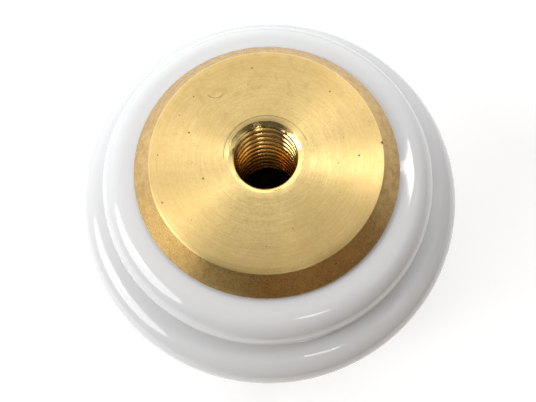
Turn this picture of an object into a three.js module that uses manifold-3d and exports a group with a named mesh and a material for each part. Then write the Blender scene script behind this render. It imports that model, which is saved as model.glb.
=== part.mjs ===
// A cemented porcelain standoff insulator: a corrugated, glazed body with a brass terminal insert
// in each end. Millimetres, +Z up along the axis. The origin is the middle of the lower insert's
// face, which the part stands on.
import * as THREE from "three";
import { mergeVertices } from "three/addons/utils/BufferGeometryUtils.js";
import Module from "manifold-3d";

const wasm = await Module();
wasm.setup();

// ---- driving dimensions ----
const HEIGHT = 88.9; // 3 1/2 in, from brass face to brass face

// Porcelain. Depths are measured into the part from the nearer brass face.
const SHED_COUNT = 3;
const SHED_RADIUS = 38.1; // 3 in across the sheds
const SHED_ROUND = 5.5; // radius of a shed's rim
const SHED_SLOPE = THREE.MathUtils.degToRad(8); // of a shed's upper and lower faces
const FIRST_SHED_DEPTH = 18.2; // to the middle of the shed nearest the face
const GROOVE_RADIUS = 28.2; // from the axis to the floor of the groove between two sheds
const GROOVE_ROUND = 5; // fillet at each side of that floor
const BEAD_RADIUS = 30.9; // the smaller rounded bead at each end
const BEAD_ROUND = 5.2;
const BEAD_UNDERCUT = THREE.MathUtils.degToRad(28); // how far the bead curls in past its widest place
const POCKET_RADIUS = 18.5;

// Terminal insert.
const FACE_RADIUS = 19.9;
const BEVEL = 3.5; // 45 degrees, round the face
const FLANGE_LAND = 0.4; // straight edge under the bevel
const INSERT_LENGTH = 22.2; // 7/8 in
const SHANK_RADIUS = 13.9;
const RIB_COUNT = 3; // ribs that hold the shank in the cement
const RIB_RADIUS = 15.5;
const RIB_LAND = 2.4;
const RIB_FLANK = 0.8;
const NOTCH_COUNT = 4; // notches along the shank, which stop it turning in the cement
const NOTCH_WIDTH = 5;

// Tapped hole, 1/2-13 UNC.
const THREAD_PITCH = 25.4 / 13;
const THREAD_MAJOR_RADIUS = 6.35;
const THREAD_MINOR_RADIUS = 5.35;
const THREAD_ROOT_FLAT = THREAD_PITCH / 8;
const THREAD_FLANK = THREE.MathUtils.degToRad(30);
const COUNTERSINK_RADIUS = 6.5;
const COUNTERSINK_SLOPE = THREE.MathUtils.degToRad(25); // of the cone's wall, from the brass face

// What lies between the insert and the porcelain.
const WASHER_THICKNESS = 0.5;
const WASHER_INNER = 18.9;
const WASHER_OUTER = 22.8;
const SAND_THICKNESS = 0.5; // grit fired on to the pocket's wall
const SAND_MARGIN = 1.6; // plain wall above and below the grit
const COAT = 0.3; // bitumen on the shank, left as a gap
const DISC_THICKNESS = 2.2; // disc that closes the hole while the cement is poured
const DISC_RADIUS = 15;

// ---- derived dimensions ----
const FLANGE_RADIUS = FACE_RADIUS + BEVEL;
const FLANGE_THICKNESS = BEVEL + FLANGE_LAND;
const END_DEPTH = FLANGE_THICKNESS + WASHER_THICKNESS; // the porcelain's end face
const POCKET_DEPTH = INSERT_LENGTH + DISC_THICKNESS;
const SHED_PITCH = (HEIGHT - 2 * FIRST_SHED_DEPTH) / (SHED_COUNT - 1);
const COUNTERSINK_DEPTH = (COUNTERSINK_RADIUS - THREAD_MINOR_RADIUS) * Math.tan(COUNTERSINK_SLOPE);

// ---- how finely round shapes are divided ----
const TURN_SEGMENTS = 36;
const HOLE_SEGMENTS = 20;
const ARC_STEP = THREE.MathUtils.degToRad(27.5);

// ---- helpers ----
const at = (radius, z) => new THREE.Vector2(radius, z);

// An arc in the profile plane about (radius, z), from one angle to another.
function arc(radius, z, round, from, to) {
  const steps = Math.ceil(Math.abs(to - from) / ARC_STEP);
  return Array.from({ length: steps + 1 }, (_, i) => {
    const angle = from + ((to - from) * i) / steps;
    return at(radius + round * Math.cos(angle), z + round * Math.sin(angle));
  });
}

// A profile turned about the Z axis. It starts and ends on the axis.
function turned(points) {
  return new THREE.LatheGeometry(points, TURN_SEGMENTS).rotateX(Math.PI / 2);
}

// A profile turned about the Z axis. Its last point is joined to its first.
function turnedRing(points) {
  return turned([...points, points[0].clone()]);
}

// A plain ring between two radii and two depths.
function ring(inner, outer, top, bottom) {
  return turnedRing([at(inner, -bottom), at(outer, -bottom), at(outer, -top), at(inner, -top)]);
}

function toSolid(geometry) {
  const bare = geometry.clone();
  bare.deleteAttribute("normal");
  bare.deleteAttribute("uv");
  const merged = mergeVertices(bare);
  return new wasm.Manifold(
    new wasm.Mesh({
      numProp: 3,
      vertProperties: merged.attributes.position.array,
      triVerts: new Uint32Array(merged.index.array),
    }),
  );
}

function toGeometry(solid) {
  const { vertProperties, triVerts } = solid.getMesh();
  const geometry = new THREE.BufferGeometry();
  geometry.setAttribute("position", new THREE.BufferAttribute(vertProperties, 3));
  geometry.setIndex(new THREE.BufferAttribute(triVerts, 1));
  geometry.computeVertexNormals();
  return geometry;
}

// A geometry less each of the solid cutters.
function cut(geometry, cutters) {
  return cutters.reduce((solid, cutter) => solid.subtract(cutter), toSolid(geometry));
}

// ---- porcelain ----
// A shed's faces are straight lines at SHED_SLOPE that run off its rim's arc.
const SHED_CENTRE = SHED_RADIUS - SHED_ROUND;
const BEAD_CENTRE = BEAD_RADIUS - BEAD_ROUND;
const BEAD_DEPTH = END_DEPTH + BEAD_ROUND;
const NECK_RADIUS = BEAD_CENTRE + BEAD_ROUND * Math.cos(BEAD_UNDERCUT);

// Height of a shed's upper face above the shed's middle, at a radius inside its rim.
function shedRise(radius) {
  return SHED_ROUND / Math.cos(SHED_SLOPE) + (SHED_CENTRE - radius) * Math.tan(SHED_SLOPE);
}

function shed(middle) {
  const sweep = Math.PI / 2 - SHED_SLOPE;
  return arc(SHED_CENTRE, middle, SHED_ROUND, -sweep, sweep);
}

// The groove above a shed: a fillet, a straight floor and another fillet.
function groove(middle) {
  const centre = GROOVE_RADIUS + GROOVE_ROUND;
  const rise = shedRise(centre) + GROOVE_ROUND / Math.cos(SHED_SLOPE);
  const side = Math.PI / 2 + SHED_SLOPE;
  return [
    ...arc(centre, middle + rise, GROOVE_ROUND, -side, -Math.PI),
    ...arc(centre, middle + SHED_PITCH - rise, GROOVE_ROUND, Math.PI, side),
  ];
}

function porcelainOutline() {
  const neckDepth = FIRST_SHED_DEPTH - shedRise(NECK_RADIUS);
  const sheds = [];
  for (let i = 0; i < SHED_COUNT; i++) {
    const middle = FIRST_SHED_DEPTH + i * SHED_PITCH;
    sheds.push(...shed(middle));
    if (i < SHED_COUNT - 1) sheds.push(...groove(middle));
  }
  return [
    ...arc(BEAD_CENTRE, BEAD_DEPTH, BEAD_ROUND, -Math.PI / 2, BEAD_UNDERCUT),
    at(NECK_RADIUS, neckDepth),
    ...sheds,
    at(NECK_RADIUS, HEIGHT - neckDepth),
    ...arc(BEAD_CENTRE, HEIGHT - BEAD_DEPTH, BEAD_ROUND, -BEAD_UNDERCUT, Math.PI / 2),
  ];
}

function porcelainBody() {
  return turned([
    at(0, POCKET_DEPTH),
    at(POCKET_RADIUS, POCKET_DEPTH),
    at(POCKET_RADIUS, END_DEPTH),
    ...porcelainOutline(),
    at(POCKET_RADIUS, HEIGHT - END_DEPTH),
    at(POCKET_RADIUS, HEIGHT - POCKET_DEPTH),
    at(0, HEIGHT - POCKET_DEPTH),
  ]);
}

// ---- pieces of one end, drawn as the upper end with the brass face at z = 0 ----

// The ribbed side of the shank, from its end up to the flange, with every face moved out by "grow".
function shankSide(grow) {
  const pitch = (INSERT_LENGTH - FLANGE_THICKNESS) / RIB_COUNT;
  const half = RIB_LAND / 2 + grow;
  const points = [at(SHANK_RADIUS + grow, -INSERT_LENGTH)];
  for (let i = RIB_COUNT - 1; i >= 0; i--) {
    const z = -FLANGE_THICKNESS - (i + 0.5) * pitch;
    points.push(at(SHANK_RADIUS + grow, z - half - RIB_FLANK));
    points.push(at(RIB_RADIUS + grow, z - half));
    points.push(at(RIB_RADIUS + grow, z + half));
    points.push(at(SHANK_RADIUS + grow, z + half + RIB_FLANK));
  }
  points.push(at(SHANK_RADIUS + grow, -FLANGE_THICKNESS));
  return points;
}

// The solid cut away from the ribs at each notch, narrowed on every side by "shrink".
function notchCutters(shrink) {
  const width = NOTCH_WIDTH - 2 * shrink;
  const inner = SHANK_RADIUS + shrink;
  const outer = POCKET_RADIUS;
  return Array.from({ length: NOTCH_COUNT }, (_, i) => {
    const length = INSERT_LENGTH - FLANGE_THICKNESS;
    const cutter = new THREE.BoxGeometry(outer - inner, width, length);
    cutter.translate((outer + inner) / 2, 0, -FLANGE_THICKNESS - length / 2);
    cutter.rotateZ(((i + 0.5) * 2 * Math.PI) / NOTCH_COUNT);
    return toSolid(cutter);
  });
}

// Cones that countersink the hole. They stand a little proud of both ends.
function countersinkCutters() {
  const proud = 0.5;
  const height = COUNTERSINK_DEPTH + proud;
  const wide = COUNTERSINK_RADIUS + proud / Math.tan(COUNTERSINK_SLOPE);
  return [1, -1].map((face) => {
    const cone = new THREE.CylinderGeometry(wide, THREAD_MINOR_RADIUS, height, HOLE_SEGMENTS);
    const middle = INSERT_LENGTH / 2 + proud - height / 2;
    cone.rotateX((face * Math.PI) / 2).translate(0, 0, face * middle - INSERT_LENGTH / 2);
    return toSolid(cone);
  });
}

// A tap with a right-hand thread, longer than the insert at both ends. One turn is the section
// below, carried round the axis; each turn's last edge is the next turn's first.
function tapCutter() {
  const flank = (THREAD_MAJOR_RADIUS - THREAD_MINOR_RADIUS) * Math.tan(THREAD_FLANK);
  const section = [
    at(THREAD_MINOR_RADIUS, flank + THREAD_ROOT_FLAT),
    at(THREAD_MINOR_RADIUS, THREAD_PITCH - flank),
    at(THREAD_MAJOR_RADIUS, THREAD_PITCH),
    at(THREAD_MAJOR_RADIUS, THREAD_PITCH + THREAD_ROOT_FLAT),
  ];
  const corners = section.length;
  const stations = (Math.ceil(INSERT_LENGTH / THREAD_PITCH) + 1) * HOLE_SEGMENTS;
  const vertex = (station, k) => {
    return k < corners ? station * corners + k : (station + HOLE_SEGMENTS) * corners;
  };
  const positions = [];
  for (let station = 0; station <= stations + HOLE_SEGMENTS; station++) {
    const turn = station / HOLE_SEGMENTS;
    const angle = turn * 2 * Math.PI;
    const start = (turn - 2) * THREAD_PITCH - INSERT_LENGTH;
    for (const { x: radius, y } of section) {
      positions.push(radius * Math.cos(angle), radius * Math.sin(angle), start + y);
    }
  }
  const indices = [];
  for (let station = 0; station < stations; station++) {
    for (let k = 0; k < corners; k++) {
      const [a, b] = [vertex(station, k), vertex(station, k + 1)];
      const [c, d] = [vertex(station + 1, k), vertex(station + 1, k + 1)];
      indices.push(a, c, b, b, c, d);
    }
  }
  for (const station of [0, stations]) {
    const middle = positions.length / 3;
    positions.push(0, 0, positions[3 * vertex(station, 0) + 2]);
    const edge = Array.from({ length: HOLE_SEGMENTS }, (_, i) => vertex(station + i, 0));
    for (let k = corners; k > 0; k--) edge.push(vertex(station, k));
    edge.forEach((from, i) => {
      const to = edge[(i + 1) % edge.length];
      indices.push(middle, ...(station === 0 ? [to, from] : [from, to]));
    });
  }
  const geometry = new THREE.BufferGeometry();
  geometry.setAttribute("position", new THREE.Float32BufferAttribute(positions, 3));
  geometry.setIndex(indices);
  return toSolid(geometry);
}

function terminalInsert() {
  const core = THREAD_MINOR_RADIUS / 2;
  const blank = turnedRing([
    at(core, -INSERT_LENGTH),
    ...shankSide(0),
    at(FLANGE_RADIUS, -FLANGE_THICKNESS),
    at(FLANGE_RADIUS, -BEVEL),
    at(FACE_RADIUS, 0),
    at(core, 0),
  ]);
  return toGeometry(cut(blank, [tapCutter(), ...countersinkCutters(), ...notchCutters(0)]));
}

// The cement fills the pocket round the shank, the disc and the grit, and keys into the notches.
function cementRing() {
  const grit = POCKET_RADIUS - SAND_THICKNESS;
  const top = FLANGE_THICKNESS + COAT;
  const poured = turnedRing([
    at(DISC_RADIUS + COAT, -POCKET_DEPTH),
    at(POCKET_RADIUS, -POCKET_DEPTH),
    at(POCKET_RADIUS, SAND_MARGIN - POCKET_DEPTH),
    at(grit, SAND_MARGIN - POCKET_DEPTH),
    at(grit, -END_DEPTH - SAND_MARGIN),
    at(POCKET_RADIUS, -END_DEPTH - SAND_MARGIN),
    at(POCKET_RADIUS, -top),
    at(THREAD_MAJOR_RADIUS, -top),
    at(THREAD_MAJOR_RADIUS, -INSERT_LENGTH),
    at(DISC_RADIUS + COAT, -INSERT_LENGTH),
  ]);
  const side = shankSide(COAT);
  const shank = turnedRing([
    at(THREAD_MINOR_RADIUS, -POCKET_DEPTH),
    at(SHANK_RADIUS + COAT, -POCKET_DEPTH),
    ...side,
    at(THREAD_MINOR_RADIUS, -FLANGE_THICKNESS),
  ]);
  return toGeometry(cut(poured, [cut(shank, notchCutters(COAT))]));
}

function sandBand() {
  const top = END_DEPTH + SAND_MARGIN;
  return ring(POCKET_RADIUS - SAND_THICKNESS, POCKET_RADIUS, top, POCKET_DEPTH - SAND_MARGIN);
}

function cushionWasher() {
  return ring(WASHER_INNER, WASHER_OUTER, FLANGE_THICKNESS, END_DEPTH);
}

function pocketDisc() {
  return turned([
    at(0, -POCKET_DEPTH),
    at(DISC_RADIUS, -POCKET_DEPTH),
    at(DISC_RADIUS, -INSERT_LENGTH),
    at(0, -INSERT_LENGTH),
  ]);
}

// ---- finishes ----
function finish(color, roughness, metalness) {
  return new THREE.MeshStandardMaterial({ color, roughness, metalness });
}

const FINISHES = {
  glaze: finish(0xeceded, 0.12, 0),
  brass: finish(0xd9b566, 0.3, 1),
  cement: finish(0xa7a49b, 0.95, 0),
  grit: finish(0xcfc9bb, 1, 0),
  cushion: finish(0x2a2724, 0.9, 0),
  bitumen: finish(0x131316, 0.85, 0),
};

// ---- assembly ----
function piece(name, geometry, material) {
  const mesh = new THREE.Mesh(geometry, material);
  mesh.name = name;
  return mesh;
}

function end(prefix) {
  const group = new THREE.Group();
  group.add(
    piece(`${prefix}_insert`, terminalInsert(), FINISHES.brass),
    piece(`${prefix}_cement`, cementRing(), FINISHES.cement),
    piece(`${prefix}_sand_band`, sandBand(), FINISHES.grit),
    piece(`${prefix}_cushion_washer`, cushionWasher(), FINISHES.cushion),
    piece(`${prefix}_pocket_disc`, pocketDisc(), FINISHES.bitumen),
  );
  return group;
}

const insulator = new THREE.Group();
insulator.add(piece("porcelain_body", porcelainBody(), FINISHES.glaze));

const upper = end("top");
upper.position.z = HEIGHT;
insulator.add(upper);

const lower = end("bottom");
lower.rotation.x = Math.PI;
insulator.add(lower);

export default insulator;
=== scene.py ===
import math

import bmesh
import bpy
from mathutils import Matrix, Vector, noise


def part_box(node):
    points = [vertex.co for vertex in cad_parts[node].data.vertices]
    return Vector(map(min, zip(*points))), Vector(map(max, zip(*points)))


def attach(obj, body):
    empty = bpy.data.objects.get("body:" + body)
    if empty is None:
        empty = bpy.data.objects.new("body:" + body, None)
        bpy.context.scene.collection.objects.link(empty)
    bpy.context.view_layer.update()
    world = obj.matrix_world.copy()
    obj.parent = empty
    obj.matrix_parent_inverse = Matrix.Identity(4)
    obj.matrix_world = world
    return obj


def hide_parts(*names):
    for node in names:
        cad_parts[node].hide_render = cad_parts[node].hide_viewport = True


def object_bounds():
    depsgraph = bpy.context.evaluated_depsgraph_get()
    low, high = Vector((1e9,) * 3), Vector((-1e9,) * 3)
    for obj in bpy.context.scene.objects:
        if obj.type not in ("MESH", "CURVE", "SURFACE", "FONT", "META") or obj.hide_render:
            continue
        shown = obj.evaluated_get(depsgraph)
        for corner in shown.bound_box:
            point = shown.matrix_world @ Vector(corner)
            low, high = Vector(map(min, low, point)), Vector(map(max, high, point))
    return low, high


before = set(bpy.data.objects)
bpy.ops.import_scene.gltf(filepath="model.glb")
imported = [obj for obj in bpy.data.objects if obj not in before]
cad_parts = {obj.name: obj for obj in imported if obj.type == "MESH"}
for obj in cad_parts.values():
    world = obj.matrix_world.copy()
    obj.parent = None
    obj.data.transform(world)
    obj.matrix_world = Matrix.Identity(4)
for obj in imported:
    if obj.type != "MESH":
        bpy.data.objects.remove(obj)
cad_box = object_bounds()

# Lengths are in millimetres unless said otherwise. Depths run into the part from the nearer brass face.
MM = 0.001
MARGIN = 0.01  # how far the visible surfaces stay inside the model's box

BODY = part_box("porcelain_body")
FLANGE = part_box("top_insert")
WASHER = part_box("top_cushion_washer")
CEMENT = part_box("top_cement")
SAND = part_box("top_sand_band")
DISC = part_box("top_pocket_disc")


def radius_of(box):
    """The radius of a round piece, from its box."""
    return box[1].x / MM


def depth_of(z):
    """How far below the upper brass face a height lies. z is in metres."""
    return (cad_box[1].z - z) / MM


HEIGHT = cad_box[1].z / MM
SHED_RADIUS = radius_of(BODY) - MARGIN
FLANGE_RADIUS = radius_of(FLANGE) - MARGIN
INSERT_LENGTH = depth_of(FLANGE[0].z)
END_DEPTH = depth_of(BODY[1].z)
POCKET_RADIUS = radius_of(CEMENT)
POCKET_DEPTH = depth_of(CEMENT[0].z)
FLANGE_THICKNESS = depth_of(WASHER[1].z)

# Porcelain
SHED_COUNT = 3
SHED_ROUND = 5.5
SHED_SLOPE = math.radians(8)
SHED_CENTRE = SHED_RADIUS - SHED_ROUND
FIRST_SHED_DEPTH = 18.2
SHED_PITCH = (HEIGHT - 2 * FIRST_SHED_DEPTH) / (SHED_COUNT - 1)
GROOVE_RADIUS = 28.2
GROOVE_ROUND = 5
BEAD_RADIUS = 30.9
BEAD_ROUND = 5.2
BEAD_CENTRE = BEAD_RADIUS - BEAD_ROUND
BEAD_DEPTH = END_DEPTH + BEAD_ROUND
BEAD_UNDERCUT = math.radians(22)
NECK_ROUND = 1.1
NECK_RADIUS = BEAD_CENTRE + BEAD_ROUND * math.cos(BEAD_UNDERCUT)
POCKET_CHAMFER = 0.4
GLAZE_EDGE = 23.0  # the glaze stops under the flange, where the body stood to be fired
WAVE = 0.12  # how far in the fired surface wanders
WAVE_RATE = 0.045  # and how many times in a millimetre

# Brass
FACE_RADIUS = 19.9
BEVEL = FLANGE_RADIUS - FACE_RADIUS
EDGE_ROUND = 0.14
SHANK_RADIUS = 13.9
RIB_COUNT = 3
RIB_RADIUS = 15.5
RIB_LAND = 2.4
RIB_FLANK = 0.8
RIB_ROUND = 0.2
SHANK_ROUND = 0.3
NOTCH_COUNT = 4
NOTCH_WIDTH = 5
THREAD_PITCH = 25.4 / 13
THREAD_MAJOR = 6.35  # radii of the thread's root and crest
THREAD_MINOR = 5.35
THREAD_DEPTH = THREAD_MAJOR - THREAD_MINOR
THREAD_START = 0.03  # where on its turn the thread runs out into the countersink, in turns
FLANK_LENGTH = THREAD_DEPTH * math.tan(math.radians(30))
ROOT_HALF = THREAD_PITCH / 16
COUNTERSINK_RADIUS = 6.5
COUNTERSINK_SLOPE = math.tan(math.radians(25))
RIM_WIDTH = 0.22  # a narrow second bevel, where the tool broke the edge of the face
RIM_DROP = 0.05

# Hidden pieces
COAT = 0.3  # the gap round each shank, where it is painted with bitumen
SAND_THICKNESS = 0.5
GRAIN_DEPTH = 0.4  # the deepest hollow between the grit's grains
WASHER_INNER = 18.9

# Old marks on the upper face: dents as x, y and radius, and arcs as centre x, centre y and radius.
DENTS = (
    (15.72, -0.05, 0.2), (-13.15, 4.32, 0.22), (-12.66, 11.16, 0.16), (-18.32, 0.25, 0.15),
    (11.24, 11.87, 0.2), (19.75, 2.24, 0.34), (-3.1, 13.4, 0.12), (-15.0, 7.6, 0.14), (4.4, -12.5, 0.13))
SCRATCH = (-8.85, 12.6, 1.77)
TOOL_LINE = (0.15, 0.1, 7.3)

# Studio. Lengths are in metres, and an azimuth runs in degrees from +X toward +Y.
EYE = (0.0018, -0.0271, 0.0709)  # the camera, from the middle of the upper face
AIM = (0.0004, -0.0079, 0)  # what it looks at, from there too
LENS = 30.1  # in millimetres
FLOOR_RADIUS = 3
FLOOR_GLOW = 0.21
ROOM_GLOW = 0.06
BRIGHT_GLOW = 1.62  # what the bright side of the room adds to that
BRIGHT_AZIMUTH = 106
BRIGHT_ELEVATION = 10
CARD_DISTANCE = 0.27
CARD_HEIGHT = 0.54
CARD_GAP = 0.002  # between the card and the floor
CARD_ENDS = (-121, 4)
CARD_STEPS = 30
CARD_FADE = 0.6  # how far round the card thins out toward each end, in radians

# Meshes
HALF_TURN = math.pi
COLUMNS = 144
LONGEST = 1.2  # most outlines have a point at least this often


# ---- outlines: lists of (radius, z) ----
def arc(radius, z, bend, start, stop, step=math.radians(5)):
    """An arc about (radius, z), from one angle to another."""
    count = max(1, math.ceil(abs(stop - start) / step))
    angles = [start + (stop - start) * i / count for i in range(count + 1)]
    return [(radius + bend * math.cos(a), z + bend * math.sin(a)) for a in angles]


def rounded(corners):
    """An outline through corners (radius, z, bend), each rounded to its bend. It closes on itself."""
    outline = []
    for i, (radius, z, bend) in enumerate(corners):
        here = Vector((radius, z))
        if not bend:
            outline.append((radius, z))
            continue
        before = (Vector(corners[i - 1][:2]) - here).normalized()
        after = (Vector(corners[(i + 1) % len(corners)][:2]) - here).normalized()
        half = before.angle(after) / 2
        centre = here + (before + after).normalized() * bend / math.sin(half)
        reach = bend / math.tan(half)
        first, last = here + before * reach - centre, here + after * reach - centre
        turn = first.angle_signed(last)
        steps = max(2, math.ceil(abs(turn) / math.radians(15)))
        start = math.atan2(first.y, first.x)
        for step in range(steps + 1):
            angle = start - turn * step / steps
            outline.append((centre.x + bend * math.cos(angle), centre.y + bend * math.sin(angle)))
    return outline


def filled(outline, longest):
    """The same outline with points added wherever two are more than longest apart."""
    dense = []
    for (r0, z0), (r1, z1) in zip(outline, outline[1:]):
        count = max(1, math.ceil(math.hypot(r1 - r0, z1 - z0) / longest))
        dense += [(r0 + (r1 - r0) * i / count, z0 + (z1 - z0) * i / count) for i in range(count)]
    return dense + [outline[-1]]


# ---- meshes ----
def ring(mesh, radius, z, columns, shape):
    """Points round the Z axis, moved by shape(radius, z, angle). On the axis they are one point."""
    if radius == 0:
        return [mesh.verts.new((0, 0, z * MM))] * columns
    verts = []
    for column in range(columns):
        angle = 2 * math.pi * column / columns
        r, h = shape(radius, z, angle) if shape else (radius, z)
        verts.append(mesh.verts.new((r * math.cos(angle) * MM, r * math.sin(angle) * MM, h * MM)))
    return verts


def face(mesh, corners):
    """A face through the corners, less any that repeat. Nothing if fewer than three are left."""
    distinct = list(dict.fromkeys(corners))
    if len(distinct) > 2:
        mesh.faces.new(distinct)


def skin(mesh, rings):
    """The wall that joins each ring to the next."""
    for below, above in zip(rings, rings[1:]):
        for i in range(len(below)):
            face(mesh, (below[i - 1], below[i], above[i], above[i - 1]))


def added(name, data):
    """A new object in the scene, for a mesh, a light or a camera."""
    thing = bpy.data.objects.new(name, data)
    bpy.context.scene.collection.objects.link(thing)
    return thing


def solid(mesh, name):
    """A new object in the scene with that mesh."""
    data = bpy.data.meshes.new(name)
    mesh.to_mesh(data)
    mesh.free()
    return added(name, data)


def made(mesh, name, finishes, node, sharp=35):
    """The finished piece: a smooth-shaded object that replaces one of the model's nodes.

    Edges that turn by more than sharp, in degrees, stay sharp.
    """
    bmesh.ops.recalc_face_normals(mesh, faces=mesh.faces)
    piece = solid(mesh, name)
    piece.data.shade_smooth()
    piece.data.set_sharp_from_angle(angle=math.radians(sharp))
    for finish in finishes:
        piece.data.materials.append(finish)
    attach(piece, "root")
    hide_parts(node)
    return piece


def turned(outline, columns=COLUMNS, shape=None):
    """A mesh turned about the Z axis. The outline closes on itself, or starts and ends on the axis."""
    mesh = bmesh.new()
    rings = [ring(mesh, r, z, columns, shape) for r, z in outline]
    if outline[0][0] > 0:
        rings.append(rings[0])
    skin(mesh, rings)
    return mesh


# ---- finishes ----
class Value:
    """An output of a node. Arithmetic on it adds Math nodes."""

    def __init__(self, finish, socket):
        self.finish = finish
        self.socket = socket

    def math(self, operation, *operands):
        return self.finish.node("ShaderNodeMath", {"operation": operation}, dict(enumerate(operands)))

    def __add__(self, other):
        return self.math("ADD", self, other)

    def __radd__(self, other):
        return self.math("ADD", other, self)

    def __sub__(self, other):
        return self.math("SUBTRACT", self, other)

    def __rsub__(self, other):
        return self.math("SUBTRACT", other, self)

    def __mul__(self, other):
        return self.math("MULTIPLY", self, other)

    def __rmul__(self, other):
        return self.math("MULTIPLY", other, self)

    def __truediv__(self, other):
        return self.math("DIVIDE", self, other)

    def __rtruediv__(self, other):
        return self.math("DIVIDE", other, self)

    def __abs__(self):
        return self.math("ABSOLUTE", self)


class Finish:
    """A material or world under construction. Its places are in millimetres."""

    def __init__(self, owner):
        self.owner = owner
        owner.use_nodes = True
        self.tree = owner.node_tree
        self.tree.nodes.clear()

    def node(self, kind, settings=None, inputs=None, output=0):
        """A new node with its settings, then the values or links of its inputs. Gives one output."""
        node = self.tree.nodes.new(kind)
        for name, value in (settings or {}).items():
            setattr(node, name, value)
        for name, value in (inputs or {}).items():
            if isinstance(value, Value):
                self.tree.links.new(value.socket, node.inputs[name])
            else:
                node.inputs[name].default_value = value
        return Value(self, node.outputs[output])

    def place(self):
        metres = self.node("ShaderNodeTexCoord", output="Object")
        return self.node("ShaderNodeVectorMath", {"operation": "SCALE"}, {0: metres, "Scale": 1 / MM})

    def parts(self, vector):
        split = self.node("ShaderNodeSeparateXYZ", inputs={0: vector}).socket.node
        return [Value(self, output) for output in split.outputs]

    def vector(self, x, y, z):
        return self.node("ShaderNodeCombineXYZ", inputs={0: x, 1: y, 2: z})

    def noise(self, where, scale, detail=2, roughness=0.5, distortion=0):
        values = {"Vector": where, "Scale": scale, "Detail": detail}
        values |= {"Roughness": roughness, "Distortion": distortion}
        return self.node("ShaderNodeTexNoise", inputs=values)

    def smooth(self, value, low, high):
        """0 below low and 1 above high, with a smooth step between. low may be the greater."""
        values = {0: value, 1: low, 2: high, 3: 0, 4: 1}
        return self.node("ShaderNodeMapRange", {"interpolation_type": "SMOOTHSTEP"}, values)

    def mixed(self, first, second, share):
        values = {0: share, 6: first, 7: second}
        return self.node("ShaderNodeMix", {"data_type": "RGBA"}, values, output=2)

    def bump(self, height, distance, normal=None):
        """A bump of that height, in millimetres when height runs from 0 to 1."""
        values = {"Height": height, "Distance": distance * MM, "Strength": 1}
        if normal:
            values["Normal"] = normal
        return self.node("ShaderNodeBump", inputs=values)

    def specks(self, where, spacing, size, share):
        """Round dots scattered about one to a cell. share is how many cells have one."""
        values = {"Vector": where, "Scale": 1 / spacing, "Randomness": 1}
        distance = self.node("ShaderNodeTexVoronoi", inputs=values, output="Distance") * spacing
        colour = self.node("ShaderNodeTexVoronoi", inputs=values, output="Color")
        red, green, _ = self.parts(colour)
        chosen = self.smooth(red, share, share - 0.02)
        return self.smooth(distance - size * (0.4 + green * 0.6), 0.06, -0.06) * chosen

    def apart(self, where, centre):
        """How far each point is from a centre."""
        values = {0: where, 1: centre}
        return self.node("ShaderNodeVectorMath", {"operation": "DISTANCE"}, values, output="Value")

    def curve(self, where, circle, width):
        """A thin round line on the upper face. circle is its centre x, centre y and radius."""
        x, y, radius = circle
        return self.smooth(abs(self.apart(where, (x, y, HEIGHT)) - radius), width, width * 0.3)

    def surface(self, **values):
        """The material, once each value has gone to the shader's input of that name."""
        inputs = {name.replace("_", " "): value for name, value in values.items()}
        self.node_output("ShaderNodeOutputMaterial", self.node("ShaderNodeBsdfPrincipled", inputs=inputs))
        return self.owner

    def node_output(self, kind, shader):
        """Adds the last node, which has no output of its own."""
        output = self.tree.nodes.new(kind)
        self.tree.links.new(shader.socket, output.inputs["Surface"])


def rgb(red, green, blue):
    """An opaque colour, in linear light."""
    return (red, green, blue, 1)


def white_glaze():
    """A thick clear-white glaze with faint waves, specks of iron and pinholes."""
    finish = Finish(bpy.data.materials.new("white_glaze"))
    place = finish.place()
    drift = finish.noise(place, 0.045, 3)
    colour = finish.mixed(rgb(0.64, 0.65, 0.665), rgb(0.69, 0.69, 0.695), drift)
    bloom = finish.smooth(finish.noise(place, 0.9, 5, 0.7), 0.35, 0.75)
    colour = finish.mixed(colour, rgb(0.65, 0.65, 0.65), bloom * 0.35)
    iron = finish.specks(place, 7, 0.22, 0.22)
    dust = finish.specks(place, 2.2, 0.09, 0.35)
    colour = finish.mixed(colour, rgb(0.10, 0.085, 0.07), iron * 0.7)
    colour = finish.mixed(colour, rgb(0.42, 0.40, 0.38), dust * 0.5)
    waves = finish.noise(place, 0.14, 2) + finish.noise(place, 0.6, 2) * 0.12
    normal = finish.bump(waves, 0.05)
    normal = finish.bump(finish.noise(place, 2.6, 3, 0.6), 0.0012, normal)
    pits = finish.specks(place, 4.5, 0.16, 0.3)
    normal = finish.bump(1 - pits, 0.01, normal)
    roughness = 0.045 + finish.noise(place, 0.5, 4, 0.6) * 0.05 + pits * 0.2
    return finish.surface(
        Base_Color=colour, Roughness=roughness, Normal=normal, IOR=1.52,
        Coat_Weight=0.1, Coat_Roughness=0.03)


def bare_porcelain():
    """Unglazed ware, a little stained."""
    finish = Finish(bpy.data.materials.new("bare_porcelain"))
    place = finish.place()
    grain = finish.noise(place, 3.0, 6, 0.7)
    stain = finish.noise(place, 0.12, 3)
    colour = finish.mixed(rgb(0.66, 0.63, 0.58), rgb(0.52, 0.48, 0.43), stain * grain)
    return finish.surface(
        Base_Color=colour, Roughness=0.75 + grain * 0.15, Normal=finish.bump(grain, 0.03))


def old_marks(finish, place):
    """Specks all over, and the dents, scratch and tool line of the upper face."""
    x, y, _ = finish.parts(place)
    marks = finish.specks(place, 1.1, 0.14, 0.3) * 0.5 + finish.specks(place, 3.6, 0.24, 0.35) * 0.7
    for dent_x, dent_y, size in DENTS:
        away = finish.apart(place, (dent_x, dent_y, HEIGHT))
        marks = marks + finish.smooth(away, size, size * 0.5)

    # The scratch is the lower part of its circle, and the tool line the upper half of its own.
    scratch = finish.curve(place, SCRATCH, 0.1) * finish.smooth(y, 11.7, 11.4)
    line = finish.curve(place, TOOL_LINE, 0.08) * finish.smooth(y - x * 0.22, 0.9, 1.4)
    return marks + scratch * 0.6 + line * 0.7


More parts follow.
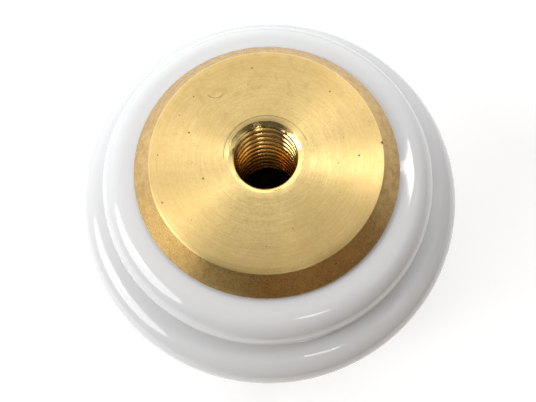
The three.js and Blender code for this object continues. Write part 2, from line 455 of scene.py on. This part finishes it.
def turned_brass():
    """Lathe-turned brass: brighter in the hole, stained on the bevel, with painted shade along the
    thread's crests and a lighter edge to the face that is partly a painted highlight.
    """
    finish = Finish(bpy.data.materials.new("turned_brass"))
    place = finish.place()
    x, y, z = finish.parts(place)
    radius = finish.node("ShaderNodeMath", {"operation": "SQRT"}, {0: x * x + y * y})
    depth = HEIGHT / 2 - abs(z - HEIGHT / 2)
    along = radius + depth * 1.4  # runs on over the edge of the face and down the bevel
    bevel = finish.smooth(radius, FACE_RADIUS - 0.05, FACE_RADIUS + 0.15)
    hole = finish.smooth(radius, COUNTERSINK_RADIUS + 0.05, COUNTERSINK_RADIUS - 0.1)
    rim = finish.smooth(abs(radius - FACE_RADIUS + RIM_WIDTH / 2), RIM_WIDTH / 2, RIM_WIDTH / 4)

    # Tool marks run round the axis. Each changes slowly on its way round.
    cut = finish.vector(x / radius * 0.6, y / radius * 0.6, along)
    fine = finish.noise(cut, 4.2, 3, 0.7)
    broad = finish.noise(cut, 0.9, 3, 0.6)
    grain = finish.noise(place, 3.2, 4, 0.75)
    blotch = finish.noise(place, 0.75, 4, 0.65)
    cloud = finish.noise(place, 0.13, 3, 0.6)

    colour = finish.mixed(rgb(0.66, 0.48, 0.19), rgb(0.80, 0.60, 0.26), finish.smooth(fine, 0.3, 0.7))
    colour = finish.mixed(colour, rgb(0.56, 0.39, 0.15), finish.smooth(grain, 0.47, 0.70) * 0.6)
    colour = finish.mixed(colour, rgb(0.92, 0.72, 0.34), finish.smooth(grain, 0.46, 0.28) * 0.5)
    colour = finish.mixed(colour, rgb(0.58, 0.40, 0.14), finish.smooth(blotch, 0.5, 0.75) * 0.5)
    colour = finish.mixed(colour, rgb(0.62, 0.44, 0.16), finish.smooth(cloud, 0.42, 0.7) * 0.4)
    colour = finish.mixed(colour, rgb(0.56, 0.37, 0.13), finish.smooth(radius, 8, 19.5) * 0.4)
    stain = finish.mixed(rgb(0.64, 0.40, 0.12), rgb(0.48, 0.28, 0.07), finish.smooth(blotch, 0.35, 0.65))
    colour = finish.mixed(colour, stain, bevel * 0.8)
    colour = finish.mixed(colour, rgb(0.95, 0.70, 0.27), hole * 0.9)
    # Painted shade: a dark brown laid along the thread's crests stands in for the shade that falls
    # between the turns deep in the hole.
    crest = finish.smooth(radius, THREAD_MINOR + 0.32, THREAD_MINOR + 0.12)
    colour = finish.mixed(colour, rgb(0.30, 0.17, 0.04), crest * 0.8)
    # The narrow bevel at the face's edge is made lighter: partly worn brass, and partly a painted
    # highlight along the edge.
    colour = finish.mixed(colour, rgb(0.94, 0.74, 0.38), rim * 0.3)

    marks = old_marks(finish, place) * (1 - hole)
    colour = finish.mixed(colour, rgb(0.16, 0.10, 0.04), finish.smooth(marks, 0, 1))

    normal = finish.bump(fine, 0.009)
    normal = finish.bump(broad, 0.008, normal)
    normal = finish.bump(grain, 0.010, normal)
    normal = finish.bump(1 - marks, 0.03, normal)
    roughness = 0.30 + fine * 0.05 + finish.smooth(blotch, 0.4, 0.8) * 0.05 - bevel * 0.07 - hole * 0.20
    return finish.surface(
        Base_Color=colour, Metallic=1.0, Roughness=roughness, Normal=normal,
        Anisotropic=0.95, Anisotropic_Rotation=0.25,
        Coat_Weight=0.15 + bevel * 0.25, Coat_Roughness=0.3)


def grey_cement():
    """Cement with pale and dark grains."""
    finish = Finish(bpy.data.materials.new("grey_cement"))
    place = finish.place()
    coarse = finish.noise(place, 0.8, 6, 0.7)
    fine = finish.noise(place, 5.0, 5, 0.7)
    colour = finish.mixed(rgb(0.30, 0.295, 0.28), rgb(0.50, 0.49, 0.46), coarse)
    colour = finish.mixed(colour, rgb(0.62, 0.60, 0.56), finish.specks(place, 1.6, 0.3, 0.4) * 0.6)
    colour = finish.mixed(colour, rgb(0.16, 0.155, 0.15), finish.specks(place, 2.1, 0.25, 0.3) * 0.7)
    normal = finish.bump(fine, 0.06, finish.bump(coarse, 0.15))
    return finish.surface(Base_Color=colour, Roughness=0.85 + fine * 0.1, Normal=normal)


def fired_grit():
    """Crushed ware fired on to the pocket's wall, grain by grain."""
    finish = Finish(bpy.data.materials.new("fired_grit"))
    place = finish.place()
    shade = finish.node("ShaderNodeTexVoronoi", inputs={"Vector": place, "Scale": 1.1}, output="Color")
    red, green, _ = finish.parts(shade)
    colour = finish.mixed(rgb(0.70, 0.66, 0.57), rgb(0.42, 0.37, 0.30), red)
    colour = finish.mixed(colour, rgb(0.82, 0.80, 0.76), finish.smooth(green, 0.75, 0.9) * 0.8)
    fine = finish.noise(place, 6.0, 4, 0.7)
    return finish.surface(Base_Color=colour, Roughness=0.7 + fine * 0.25, Normal=finish.bump(fine, 0.05))


def cushion_rubber():
    """Black rubber with brown crumbs."""
    finish = Finish(bpy.data.materials.new("cushion_rubber"))
    place = finish.place()
    grain = finish.noise(place, 4.0, 5, 0.7)
    crumbs = finish.specks(place, 1.2, 0.25, 0.4)
    colour = finish.mixed(rgb(0.022, 0.02, 0.018), rgb(0.05, 0.044, 0.038), grain)
    colour = finish.mixed(colour, rgb(0.10, 0.075, 0.05), crumbs * 0.5)
    normal = finish.bump(grain, 0.03)
    return finish.surface(Base_Color=colour, Roughness=0.7 + grain * 0.2, Normal=normal)


def bitumen_fibre():
    """Fibreboard soaked in bitumen."""
    finish = Finish(bpy.data.materials.new("bitumen_fibre"))
    place = finish.place()
    x, y, z = finish.parts(place)
    fibres = finish.noise(finish.vector(x, y * 0.3, z), 4.0, 5, 0.7, 1.5)
    tar = finish.smooth(finish.noise(place, 0.5, 3), 0.4, 0.6)
    colour = finish.mixed(rgb(0.006, 0.006, 0.006), rgb(0.022, 0.018, 0.014), fibres)
    roughness = 0.75 - tar * 0.35 + fibres * 0.15
    return finish.surface(Base_Color=colour, Roughness=roughness, Normal=finish.bump(fibres, 0.08))


GLAZE = white_glaze()
BISQUE = bare_porcelain()
BRASS = turned_brass()
CEMENT_GREY = grey_cement()
GRIT = fired_grit()
RUBBER = cushion_rubber()
FIBRE = bitumen_fibre()


# ---- porcelain ----
def shed_rise(radius):
    """Height of a shed's upper face above its middle, at a radius inside its rim."""
    return SHED_ROUND / math.cos(SHED_SLOPE) + (SHED_CENTRE - radius) * math.tan(SHED_SLOPE)


def shed(middle):
    """The rounded rim of a shed, between its two slopes."""
    sweep = HALF_TURN / 2 - SHED_SLOPE
    return arc(SHED_CENTRE, middle, SHED_ROUND, -sweep, sweep)


def groove(middle):
    """The two fillets of the groove above a shed."""
    centre = GROOVE_RADIUS + GROOVE_ROUND
    rise = shed_rise(centre) + GROOVE_ROUND / math.cos(SHED_SLOPE)
    side = HALF_TURN / 2 + SHED_SLOPE
    lower = arc(centre, middle + rise, GROOVE_ROUND, -side, -HALF_TURN)
    upper = arc(centre, middle + SHED_PITCH - rise, GROOVE_ROUND, HALF_TURN, side)
    return lower + upper


def half_outline():
    """The lower half of the glazed outline, from the end face out to the middle shed's rim."""
    bead = arc(BEAD_CENTRE, BEAD_DEPTH, BEAD_ROUND, -HALF_TURN / 2, BEAD_UNDERCUT)
    centre = NECK_RADIUS + NECK_ROUND * 0.75
    depth = FIRST_SHED_DEPTH - shed_rise(centre) - NECK_ROUND / math.cos(SHED_SLOPE)
    neck = arc(centre, depth, NECK_ROUND, HALF_TURN + BEAD_UNDERCUT * 0.6, HALF_TURN / 2 + SHED_SLOPE)
    sheds = []
    for i in range(SHED_COUNT):
        middle = FIRST_SHED_DEPTH + i * SHED_PITCH
        sheds += shed(middle)
        if i < SHED_COUNT - 1:
            sheds += groove(middle)
    return [(r, z) for r, z in bead + neck + sheds if z < HEIGHT / 2 - MARGIN]


def wavy(radius, z, angle):
    """Glazed ware is never quite true: the surface wanders in by up to WAVE."""
    place = Vector((radius * math.cos(angle), radius * math.sin(angle), z)) * WAVE_RATE
    return radius - WAVE * (0.5 + 0.5 * noise.noise(place)), z


def glazed_body():
    """Half the outline is drawn, mirrored and joined by the two pockets."""
    half = half_outline()
    rim = (SHED_RADIUS, HEIGHT / 2)
    whole = half + [rim] + [(r, HEIGHT - z) for r, z in reversed(half)]
    top = [
        (POCKET_RADIUS + POCKET_CHAMFER, HEIGHT - END_DEPTH),
        (POCKET_RADIUS, HEIGHT - END_DEPTH - POCKET_CHAMFER),
        (POCKET_RADIUS, HEIGHT - POCKET_DEPTH),
        (0, HEIGHT - POCKET_DEPTH),
    ]
    bottom = [(r, HEIGHT - z) for r, z in reversed(top)]
    outline = filled(bottom + whole + top, LONGEST)

    def shape(radius, z, angle):
        """True under the flange, so that the washer lies flat, and wavy outside it."""
        return wavy(radius, z, angle) if radius > FLANGE_RADIUS + 0.5 else (radius, z)

    mesh = turned(outline, 2 * COLUMNS, shape)
    for polygon in mesh.faces:
        middle = polygon.calc_center_median()
        polygon.material_index = int(math.hypot(middle.x, middle.y) / MM < GLAZE_EDGE)
    return made(mesh, "glazed_porcelain", [GLAZE, BISQUE], "porcelain_body", sharp=50)


# ---- pieces of one end, drawn as the upper end with the brass face at z = 0 ----
def span(box):
    """The foot and top of a piece of the upper end."""
    return -depth_of(box[0].z), -depth_of(box[1].z)


def in_notch(angle, width, radius):
    """Whether a point lies in one of the notches that cross the ribs."""
    pitch = 2 * math.pi / NOTCH_COUNT
    off = (angle / pitch) % 1 - 0.5
    return abs(off) * pitch * radius < width / 2


def shank_corners(grow):
    """The ribbed side of the shank, from its end up to the flange, moved out by grow."""
    pitch = (INSERT_LENGTH - FLANGE_THICKNESS) / RIB_COUNT
    half = RIB_LAND / 2 + grow
    low, high = SHANK_RADIUS + grow, RIB_RADIUS + grow
    corners = []
    for i in reversed(range(RIB_COUNT)):
        z = -FLANGE_THICKNESS - (i + 0.5) * pitch
        corners += [(low, z - half - RIB_FLANK, RIB_ROUND), (high, z - half, RIB_ROUND)]
        corners += [(high, z + half, RIB_ROUND), (low, z + half + RIB_FLANK, RIB_ROUND)]
    return corners


def notched(width, grow):
    """A shape that flattens the ribs to the shank inside each notch."""
    def shape(radius, z, angle):
        low = SHANK_RADIUS + grow
        if low < radius < RIB_RADIUS + grow + 0.01 and in_notch(angle, width, radius):
            return low, z
        return radius, z
    return shape


def thread_section():
    """Points (radius, share of a pitch) from the middle of one root to just before the next.

    The corners are eased, and the crest most of all.
    """
    side = [
        (THREAD_MAJOR, 0),
        (THREAD_MAJOR - 0.03 * THREAD_DEPTH, ROOT_HALF * 0.8),
        (THREAD_MAJOR - 0.14 * THREAD_DEPTH, ROOT_HALF + FLANK_LENGTH * 0.10),
        (THREAD_MAJOR - 0.50 * THREAD_DEPTH, ROOT_HALF + FLANK_LENGTH * 0.50),
        (THREAD_MINOR + 0.22 * THREAD_DEPTH, ROOT_HALF + FLANK_LENGTH * 0.80),
        (THREAD_MINOR + 0.07 * THREAD_DEPTH, ROOT_HALF + FLANK_LENGTH * 1.05),
        (THREAD_MINOR + 0.01 * THREAD_DEPTH, ROOT_HALF + FLANK_LENGTH * 1.30),
        (THREAD_MINOR, THREAD_PITCH / 2),
    ]
    back = [(r, THREAD_PITCH - z) for r, z in reversed(side[1:-1])]
    return [(r, z / THREAD_PITCH) for r, z in side + back]


def tapped_hole(mesh, mouth, foot):
    """The wall of a right-hand tapped hole between two rings, countersunk at both.

    The helix is a grid of columns round the hole and rows up it, and climbs a pitch in each turn.
    """
    section = thread_section()
    columns, per_turn = len(mouth), len(section)
    turns = math.ceil(INSERT_LENGTH / THREAD_PITCH) + 2
    known = {}

    def vertex(column, row):
        """A point of the thread, or the ring's own point where the thread has run past the end."""
        if column == columns:
            column, row = 0, row + per_turn
        turn, k = divmod(row, per_turn)
        radius, share = section[k]
        z = (turn + share + column / columns - THREAD_START - turns + 1) * THREAD_PITCH
        if z >= 0:
            return mouth[column]
        if z <= -INSERT_LENGTH:
            return foot[column]
        if (column, row) not in known:
            cone = COUNTERSINK_RADIUS - min(-z, z + INSERT_LENGTH) / COUNTERSINK_SLOPE
            angle = 2 * math.pi * column / columns
            r = max(radius, cone)
            known[column, row] = mesh.verts.new(
                (r * math.cos(angle) * MM, r * math.sin(angle) * MM, z * MM))
        return known[column, row]

    for column in range(columns):
        for row in range(turns * per_turn):
            face(mesh, (
                vertex(column, row), vertex(column, row + 1),
                vertex(column + 1, row + 1), vertex(column + 1, row)))


def insert_mesh():
    """Flange, ribbed shank and tapped hole."""
    corners = [
        (COUNTERSINK_RADIUS, -INSERT_LENGTH, 0),
        (SHANK_RADIUS, -INSERT_LENGTH, SHANK_ROUND),
        *shank_corners(0),
        (SHANK_RADIUS, -FLANGE_THICKNESS, SHANK_ROUND),
        (FLANGE_RADIUS, -FLANGE_THICKNESS, EDGE_ROUND),
        (FLANGE_RADIUS, -BEVEL, EDGE_ROUND),
        (FACE_RADIUS, -RIM_DROP, EDGE_ROUND),
        (FACE_RADIUS - RIM_WIDTH, 0, 0),
        (COUNTERSINK_RADIUS, 0, 0),
    ]
    outline = filled(rounded(corners), LONGEST)
    mesh = bmesh.new()
    shape = notched(NOTCH_WIDTH, 0)
    rings = [ring(mesh, r, z, COLUMNS, shape) for r, z in outline]
    skin(mesh, rings)
    tapped_hole(mesh, rings[-1], rings[0])
    return mesh


def cement_mesh():
    """What fills the pocket between the porcelain, the grit, the shank and the disc."""
    grit = POCKET_RADIUS - SAND_THICKNESS
    sand_foot, sand_top = span(SAND)
    _, top = span(CEMENT)
    disc = radius_of(DISC) + COAT
    corners = [
        (disc, -POCKET_DEPTH, 0),
        (POCKET_RADIUS, -POCKET_DEPTH, 0),
        (POCKET_RADIUS, sand_foot, 0),
        (grit, sand_foot, 0),
        (grit, sand_top, 0),
        (POCKET_RADIUS, sand_top, 0),
        (POCKET_RADIUS, top, 0.2),
        (SHANK_RADIUS + COAT, top, 0.2),
        *reversed(shank_corners(COAT)),
        (SHANK_RADIUS + COAT, -INSERT_LENGTH, 0.1),
        (disc, -INSERT_LENGTH, 0.1),
    ]
    return turned(filled(rounded(corners), 1.5), COLUMNS, notched(NOTCH_WIDTH - 2 * COAT, COAT))


def grit_mesh():
    """The band's inner side is rough with half-buried grains."""
    outer = POCKET_RADIUS - 0.02
    inner = POCKET_RADIUS - SAND_THICKNESS
    foot, top = span(SAND)
    outline = filled([(inner, foot), (outer, foot), (outer, top), (inner, top), (inner, foot)], 0.55)

    def shape(radius, z, angle):
        if radius > inner + 0.01:
            return radius, z
        place = Vector((radius * math.cos(angle), radius * math.sin(angle), z)) * 1.1
        cells, _ = noise.voronoi(place)
        return radius + 0.02 + min(GRAIN_DEPTH, cells[0] * 0.55), z

    return turned(outline[:-1], 240, shape)


def washer_mesh():
    """A thin ring, squeezed out a little unevenly under the flange."""
    inner, outer = WASHER_INNER, radius_of(WASHER) - MARGIN
    foot, top = span(WASHER)
    bend = (top - foot) * 0.4
    corners = [(inner, foot, bend), (outer, foot, bend), (outer, top, bend), (inner, top, bend)]

    def shape(radius, z, angle):
        place = Vector((math.cos(angle), math.sin(angle), 0)) * 9
        bulge = 0.12 * noise.noise(place) if radius > outer - bend else 0
        return radius - abs(bulge), z

    return turned(rounded(corners), COLUMNS, shape)


def disc_mesh():
    """A disc of fibre whose upper side is a little uneven."""
    radius = radius_of(DISC) - MARGIN
    foot, top = span(DISC)
    foot, top = foot + MARGIN, top - MARGIN
    side = rounded([(0, foot, 0), (radius, foot, 0.5), (radius, top, 0.5), (0, top, 0)])
    outline = filled(side, 0.9)

    def shape(r, z, angle):
        place = Vector((r * math.cos(angle), r * math.sin(angle), z)) * 0.8
        sink = 0.1 * (1 + noise.noise(place))
        return r, z - sink if z > top - 0.01 else z

    return turned(outline, 96, shape)


# Each piece's name, its node, the function that makes it and its finish. The end's name goes before both.
END_PIECES = (
    ("brass_insert", "insert", insert_mesh, BRASS),
    ("cement_fill", "cement", cement_mesh, CEMENT_GREY),
    ("grit_band", "sand_band", grit_mesh, GRIT),
    ("cushion_ring", "cushion_washer", washer_mesh, RUBBER),
    ("closing_disc", "pocket_disc", disc_mesh, FIBRE),
)


def assemble():
    """The body, then the five pieces of each end. The lower end is the upper one turned over."""
    glazed_body()
    ends = (
        ("upper", "top", Matrix.Translation((0, 0, HEIGHT * MM))),
        ("lower", "bottom", Matrix.Rotation(math.pi, 4, "X")),
    )
    for title, prefix, place in ends:
        for name, node, build, finish in END_PIECES:
            mesh = build()
            bmesh.ops.transform(mesh, matrix=place, verts=mesh.verts)
            made(mesh, f"{title}_{name}", [finish], f"{prefix}_{node}")


# ---- studio ----
def studio_floor():
    """A wide pale floor with a faint glow of its own."""
    mesh = bmesh.new()
    bmesh.ops.create_circle(mesh, cap_ends=True, segments=96, radius=FLOOR_RADIUS)
    floor = solid(mesh, "studio_floor")
    finish = Finish(bpy.data.materials.new("pale_floor"))
    mottle = finish.noise(finish.place(), 0.004, 2)
    colour = finish.mixed(rgb(0.90, 0.90, 0.90), rgb(0.93, 0.93, 0.93), mottle)
    floor.data.materials.append(finish.surface(
        Base_Color=colour, Roughness=0.9, Emission_Color=rgb(1, 1, 1), Emission_Strength=FLOOR_GLOW))


def from_face(x, y, z):
    """The place that lies so far from the middle of the upper brass face."""
    return (x, y, cad_box[1].z + z)


def aimed(thing, place, target, upward=(0, 0, 1)):
    """Put a light or camera at a place, facing the target, with its top edge toward upward."""
    back = (Vector(place) - Vector(target)).normalized()
    right = Vector(upward).cross(back).normalized()
    turn = Matrix((right, back.cross(right), back)).transposed()
    thing.matrix_world = Matrix.Translation(place) @ turn.to_4x4()


def toward(azimuth, elevation):
    """The direction at an azimuth from +X and an elevation, both in degrees."""
    a, e = math.radians(azimuth), math.radians(elevation)
    return Vector((math.cos(a) * math.cos(e), math.sin(a) * math.cos(e), math.sin(e)))


def softbox(name, azimuth, elevation, distance, width, height, radiance, shape="RECTANGLE", lean=0):
    """A flat light turned to the middle of the upper brass face, at a direction and distance from it.

    radiance is its brightness, so its power follows its size. lean turns it in its own plane, in degrees.
    """
    data = bpy.data.lights.new(name, "AREA")
    data.shape = shape
    data.size, data.size_y = width, height
    area = width * height * (math.pi / 4 if shape == "ELLIPSE" else 1)
    data.energy = radiance * math.pi * area
    light = added(name, data)
    focus = Vector(from_face(0, 0, 0))
    aimed(light, focus + toward(azimuth, elevation) * distance, focus)
    light.matrix_world = light.matrix_world @ Matrix.Rotation(math.radians(lean), 4, "Z")
    light.visible_camera = False


def surroundings():
    """A room that glows most from low behind the part, and is plain white where it is seen."""
    world = bpy.data.worlds.new("pale_room")
    bpy.context.scene.world = world
    finish = Finish(world)
    way = finish.node("ShaderNodeTexCoord", output="Generated")
    bright = {0: way, 1: toward(BRIGHT_AZIMUTH, BRIGHT_ELEVATION)}
    share = finish.node("ShaderNodeVectorMath", {"operation": "DOT_PRODUCT"}, bright, output="Value")
    glow = ROOM_GLOW + finish.smooth(share, -0.05, 0.75) * BRIGHT_GLOW
    seen = finish.node("ShaderNodeLightPath", output="Is Camera Ray")
    glow = glow * (1 - seen) + seen
    room = finish.node("ShaderNodeBackground", inputs={"Color": rgb(1, 1, 1), "Strength": glow})
    finish.node_output("ShaderNodeOutputWorld", room)


def dark_card():
    """A curved dark card in front and to the right, thinner toward its ends and its top.

    It keeps light off that side and darkens what the part mirrors. The camera doesn't see it.
    """
    mesh = bmesh.new()
    start, stop = (math.radians(end) for end in CARD_ENDS)
    low, high = [], []
    for step in range(CARD_STEPS + 1):
        angle = start + (stop - start) * step / CARD_STEPS
        x, y = CARD_DISTANCE * math.cos(angle), CARD_DISTANCE * math.sin(angle)
        low.append(mesh.verts.new((x, y, CARD_GAP)))
        high.append(mesh.verts.new((x, y, CARD_HEIGHT)))
    for i in range(CARD_STEPS):
        mesh.faces.new((low[i], low[i + 1], high[i + 1], high[i]))
    card = solid(mesh, "dark_card")
    finish = Finish(bpy.data.materials.new("dark_card"))
    x, y, z = finish.parts(finish.place())
    angle = finish.node("ShaderNodeMath", {"operation": "ARCTAN2"}, {0: y, 1: x})
    alpha = finish.smooth(z * MM, CARD_HEIGHT, CARD_HEIGHT * 0.8)
    alpha = alpha * finish.smooth(angle, start, start + CARD_FADE)
    alpha = alpha * finish.smooth(angle, stop, stop - CARD_FADE)
    card.data.materials.append(finish.surface(
        Base_Color=rgb(0.13, 0.085, 0.05), Roughness=1.0, Alpha=alpha))
    card.visible_camera = False


def camera():
    """Looks down on the upper end from in front."""
    data = bpy.data.cameras.new("camera")
    data.lens = LENS
    data.sensor_width = 36
    data.clip_start = 0.005
    eye = added("camera", data)
    aimed(eye, from_face(*EYE), from_face(*AIM), upward=(0, 1, 0))
    bpy.context.scene.camera = eye


camera()
assemble()
studio_floor()
surroundings()
dark_card()

# Name, azimuth, elevation, distance, width, height and radiance.
softbox("left_window", -160, 33, 0.6, 0.497, 0.34, 4.4, shape="ELLIPSE")
softbox("left_core", -166, 41, 0.6, 0.13, 0.11, 10, shape="ELLIPSE")
softbox("right_window", 37, 60, 0.6, 0.085, 0.095, 12)
softbox("right_fill", -10, 46, 0.3, 0.228, 0.106, 0.6)
softbox("front_fill", -100, 52, 0.3, 0.275, 0.084, 0.15)
softbox("front_strip", -66, 53, 0.3, 0.065, 0.021, 6.5, lean=-36)
bpy.context.scene.view_settings.view_transform = "Standard"
